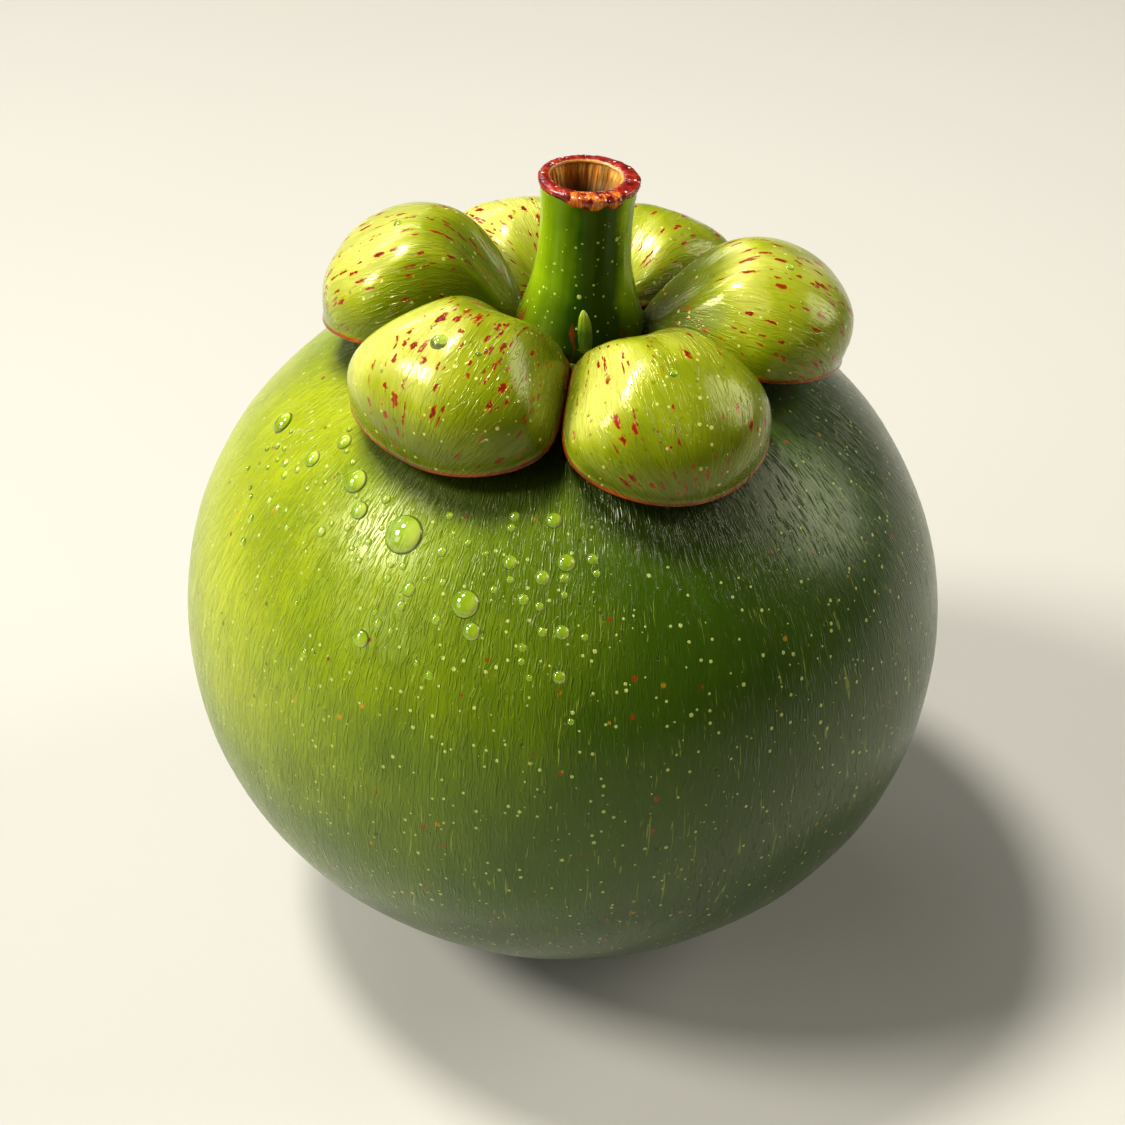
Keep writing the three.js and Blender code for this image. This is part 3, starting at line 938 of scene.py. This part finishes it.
def make_torn_lip():
    """A thick knobbly lip of dried bark round the cut, pulled down in a flap on one side. It is
    shaped from a ring with a section of radius 1."""
    bm = bmesh.new()
    bmesh.ops.create_circle(bm, segments=36, radius=1)
    bmesh.ops.rotate(bm, verts=bm.verts[:], matrix=Matrix.Rotation(math.pi / 2, 3, "X"))
    ring_radius = 10
    bmesh.ops.translate(bm, verts=bm.verts[:], vec=(ring_radius, 0, 0))
    spin_round(bm, 220)
    grain = bm.verts.layers.float_vector.new("grain")
    edge = bm.verts.layers.float_vector.new("edge")
    for v in bm.verts:
        _, radius, ring = round_axis(v.co)
        side, level = radius - ring_radius, v.co.z
        azimuth = math.degrees(math.atan2(ring.x, -ring.y))
        knob = noise.noise(ring * 6 + Vector((0, 0, level))) + 0.7 * noise.noise(ring * 15)
        inner = HOLLOW_RADIUS - 0.17 + 0.1 * noise.noise(ring * 3)
        outer = LIP_RADIUS + 0.02 + 0.04 * knob
        wide = (inner + outer) / 2 + side * (outer - inner) / 2
        hang = ragged(azimuth) * smoothstep(side, 0.1, 0.9) * smoothstep(-level, -0.5, 0.8)
        wide -= 0.1 * smoothstep(hang, 0.3, 0.9)
        slope = 0.12 * pulled(azimuth) * (side + 1) / 2
        height = STALK_TOP - 0.3 + (0.24 + 0.05 * knob) * level - hang - slope
        v[grain] = ring * STALK_GRAIN + Vector((0, 0, hang + side))
        v[edge] = (pulled(azimuth), smoothstep(-side, 0.72, 0.95), 0)
        v.co = from_crown(ring * wide + Vector((0, 0, height)) + MOUTH_SHIFT * (1 - side) / 2)
    finish_piece(bm, "stalk_torn_lip", [torn_bark()], "stalk")


def make_bract():
    """The small pointed scale pressed against the foot of the stalk."""
    bm = ball(40, 32)
    grain = bm.verts.layers.float_vector.new("grain")
    turn = Matrix.Rotation(math.radians(BRACT_AZIMUTH), 3, "Z")
    height = BRACT_TOP - STALK_FOOT
    for v in bm.verts:
        rise = (v.co.z + 1) / 2
        angle = math.atan2(v.co.y, v.co.x)
        wide = BRACT_RADIUS * (1 - rise**1.8) ** 0.6 * min(1, 6 * rise) ** 0.5
        up = rise * height
        p = Vector((wide * math.cos(angle), 0.8 * wide * math.sin(angle), STALK_FOOT + up))
        p.x -= BRACT_CURL * rise**2
        p.y -= FLARE_RADIUS - BRACT_SINK - 0.5 * math.sin(rise * math.pi / 2)
        v[grain] = Vector((p.x, p.y, up))
        v.co = from_crown(turn @ p)
    finish_piece(bm, "stalk_bract", [young_scale()], "stalk")


# ---- the stigma scar ----


def make_scar():
    """The flat rosette under the fruit, with a seam down each notch between its lobes."""
    bm = ball(168, 40)
    grain = bm.verts.layers.float_vector.new("grain")
    for v in bm.verts:
        angle, share, ring = round_axis(v.co)
        lobes = abs(math.cos(SCAR_LOBES * angle / 2)) ** 0.5
        wide = SCAR_RADIUS * (1 - SCAR_NOTCH * (1 - lobes)) * share**0.8
        seam = math.exp(-((lobes / 0.45) ** 2)) * smoothstep(share, 0.15, 0.5)
        thick = (SCAR_THICKNESS - 0.02) / 2 * abs(v.co.z) ** 0.35
        thick *= 1 - 0.45 * seam - 0.3 * (1 - smoothstep(share, 0, 0.18))
        v[grain] = ring * 4 + Vector((0, 0, wide))
        middle = SCAR_THICKNESS / 2
        v.co = (ring * wide + Vector((0, 0, middle + math.copysign(thick, v.co.z)))) * MM
    finish_piece(bm, "stigma_rosette", [corky_scar()], "stigma_scar", "stigma_scar")


# ---- water ----

# Direction in degrees from -Y towards +X, fall from the crown's axis in degrees, and radius.
DROPS = [
    (-33, 46.4, 1.34),
    (-18, 52.9, 0.96),
    (-49, 43.2, 0.88),
    (-78, 46.9, 0.87),
    (-44, 46.4, 0.62),
    (-62, 45.2, 0.64),
    (-59, 40.0, 0.58),
    (-33, 62.7, 0.61),
    (-28, 53.4, 0.48),
    (-6, 47.4, 0.48),
    (-2, 45.0, 0.60),
    (-5, 39.0, 0.54),
    (-16, 56.5, 0.60),
    (-2, 54.8, 0.47),
    (-2, 61.1, 0.42),
    (-13, 39.3, 0.36),
    (-12, 45.9, 0.48),
    (-22, 56.2, 0.36),
]

# Lobe, direction in degrees, distance from the crown's axis, and radius.
LOBE_DROPS = [
    ("front_left", -37, 16, 0.62),
    ("front_left", -27, 15.6, 0.24),
    ("front_right", 22, 15.4, 0.3),
    ("left", -97, 13.5, 0.36),
    ("right", 84, 14.6, 0.34),
]

# Where the light comes from that the drops gather.
SUNWARD = Vector((-0.72, -0.3, 0.63))


def add_drop(bm, dome, at, out, radius):
    """A squat dome that reaches a little way into what it sits on, so that no gap shows."""
    across = bm.verts.layers.float_vector["across"]
    lit = (SUNWARD - out * (SUNWARD @ out)).normalized()
    level = out.cross(lit)
    downhill = (Vector((0, 0, -1)) + out * out.z).normalized()
    before = len(bm.verts)
    bm.from_mesh(dome)
    bm.verts.ensure_lookup_table()
    for v in bm.verts[before:]:
        x, y, z = v.co
        v[across] = (-x, math.sqrt(max(1 - max(z, 0.5) ** 2, 0)) / 0.866, radius)
        side = (lit * x + level * y) * DROP_SPREAD * radius
        sag = downhill * 0.1 * max(z, 0) * radius
        v.co = from_crown(at + side + sag + out * (DROP_HEIGHT * z - DROP_ROOT) * radius)


def skin_between(one, other):
    """About how many millimetres of bare skin there are between two drops on the rind."""
    degrees = math.hypot((one[0] - other[0]) * 0.75, one[1] - other[1])
    return degrees * RIND_RADIUS / 57 - one[2] - other[2]


def make_drops():
    """The large drops, droplets scattered between them where there is room, and a few drops on
    the lobes, all in one piece."""
    bm = bmesh.new()
    bm.verts.layers.float_vector.new("across")
    round_one = ball(32, 24)
    dome = bpy.data.meshes.new("dome")
    round_one.to_mesh(dome)
    round_one.free()
    chance = random.Random(7)
    placed = list(DROPS)
    for _ in range(DROPLET_TRIES):
        spot = (chance.uniform(-75, 5), chance.gauss(50, 7), 0.18 + 0.2 * chance.random() ** 2)
        room = min(skin_between(spot, drop) for drop in placed) > DROPLET_GAP
        if room and 36 < spot[1] < 70 and len(placed) < DROPS_AT_MOST:
            placed.append(spot)
    for azimuth, fall, radius in placed:
        angle, down = math.radians(azimuth - 90), math.radians(fall)
        at = rind_point(angle, down)
        downhill = rind_point(angle, down + 0.01) - at
        out = downhill.cross(rind_point(angle + 0.01, down) - at).normalized()
        add_drop(bm, dome, at, out, radius)
    for name, azimuth, off, radius in LOBE_DROPS:
        from_above = from_crown(direction(azimuth) * off + Vector((0, 0, 60)))
        at, out, _, _ = LOBE_SKINS[name].ray_cast(from_above, LEAN @ Vector((0, 0, -1)))
        back = LEAN.transposed()
        add_drop(bm, dome, back @ (at / MM - CENTRE), back @ out, radius)
    bpy.data.meshes.remove(dome)
    drops = finish_piece(bm, "rind_water_drops", [clear_water()], "water_drops")
    drops.visible_shadow = False  # the skin under a drop is lit as brightly as the rest


# ---- everything is made here ----

make_camera()
make_floor()
make_world()
bpy.context.scene.view_settings.view_transform = "Standard"
# Azimuth and elevation in degrees, width and height in metres, watts, and colour.
make_light("key_softbox", -81, 43, (0.14, 0.14), 0.46, (1, 0.98, 0.93))
make_light("top_softbox", -118, 66, (0.1, 0.1), 0.46, (1, 0.98, 0.94))
make_light("front_fill", -62, 26, (0.25, 0.25), 0.09)
make_light("right_fill", 104, 28, (0.3, 0.3), 0.24, (1, 0.97, 0.88))
make_light("back_edge_strip", 205, 32, (0.3, 0.05), 0.07)

lobe_material = fleshy_lobe()
make_rind()
for lobe_index, lobe_name in enumerate(LOBES):
    make_lobe(lobe_index, lobe_name, lobe_material)
make_stalk()
make_torn_lip()
make_bract()
make_scar()
make_drops()
